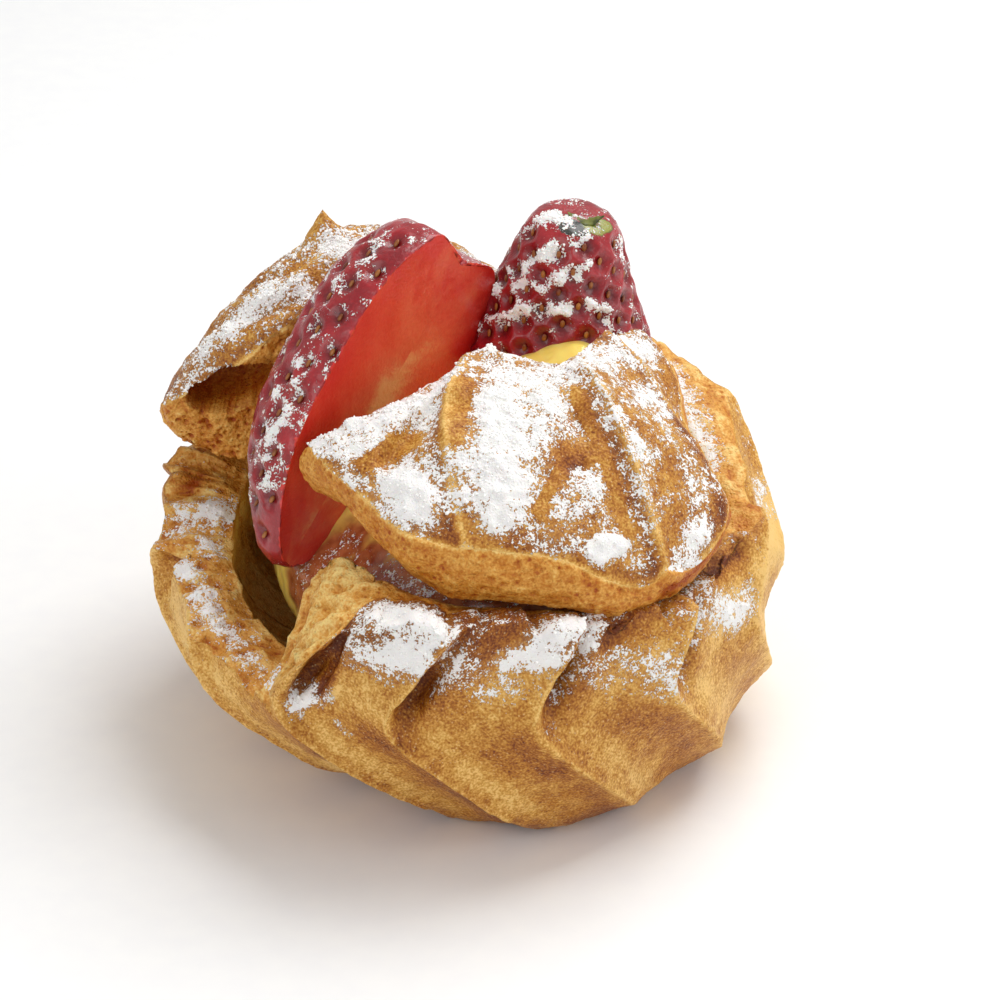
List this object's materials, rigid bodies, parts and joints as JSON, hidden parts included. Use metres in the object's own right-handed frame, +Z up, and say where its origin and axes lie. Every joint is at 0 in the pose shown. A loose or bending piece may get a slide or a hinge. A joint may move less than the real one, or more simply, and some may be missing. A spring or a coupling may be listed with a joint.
{
  "type": "custard cream puff",
  "caption": "Fluted choux bun, torn open and filled with custard, with strawberries pushed into it under the pieces of its lid, all dusted with powdered sugar.",
  "frame": {"origin": "on the surface that the bun rests on, under the middle of the bounding box", "axes": "+Z up; -Y towards the front, where the ridged front piece of the lid lies; +X to the right seen from the front, away from the broken side of the bun"},
  "size_m": [0.0807, 0.0795, 0.0679],
  "materials": {
    "bun": "baked choux crust, golden brown with darker ridges and a pale torn crumb, dusted with powdered sugar; matt",
    "custard": "set custard, pale yellow, smooth and softly glossy",
    "strawberry_cut": "cut strawberry: moist red flesh paler at the core, dark red skin with seeds and powdered sugar",
    "strawberry_skin": "strawberry skin, deep crimson and dimpled round each seed, dusted with powdered sugar",
    "calyx": "scrap of green strawberry leaf",
    "lid_front": "baked choux crust with swirled ridges, a pale porous side and a heavy dusting of powdered sugar; matt",
    "lid_back": "baked choux crust with a porous cut face and a light dusting of powdered sugar; matt"
  },
  "bodies": {
    "root": {"bun": "bun", "custard": "custard", "strawberry_half": "strawberry_cut", "strawberry_whole": "strawberry_skin", "calyx": "calyx", "lid_front": "lid_front", "lid_back": "lid_back"}
  },
  "joints": []
}
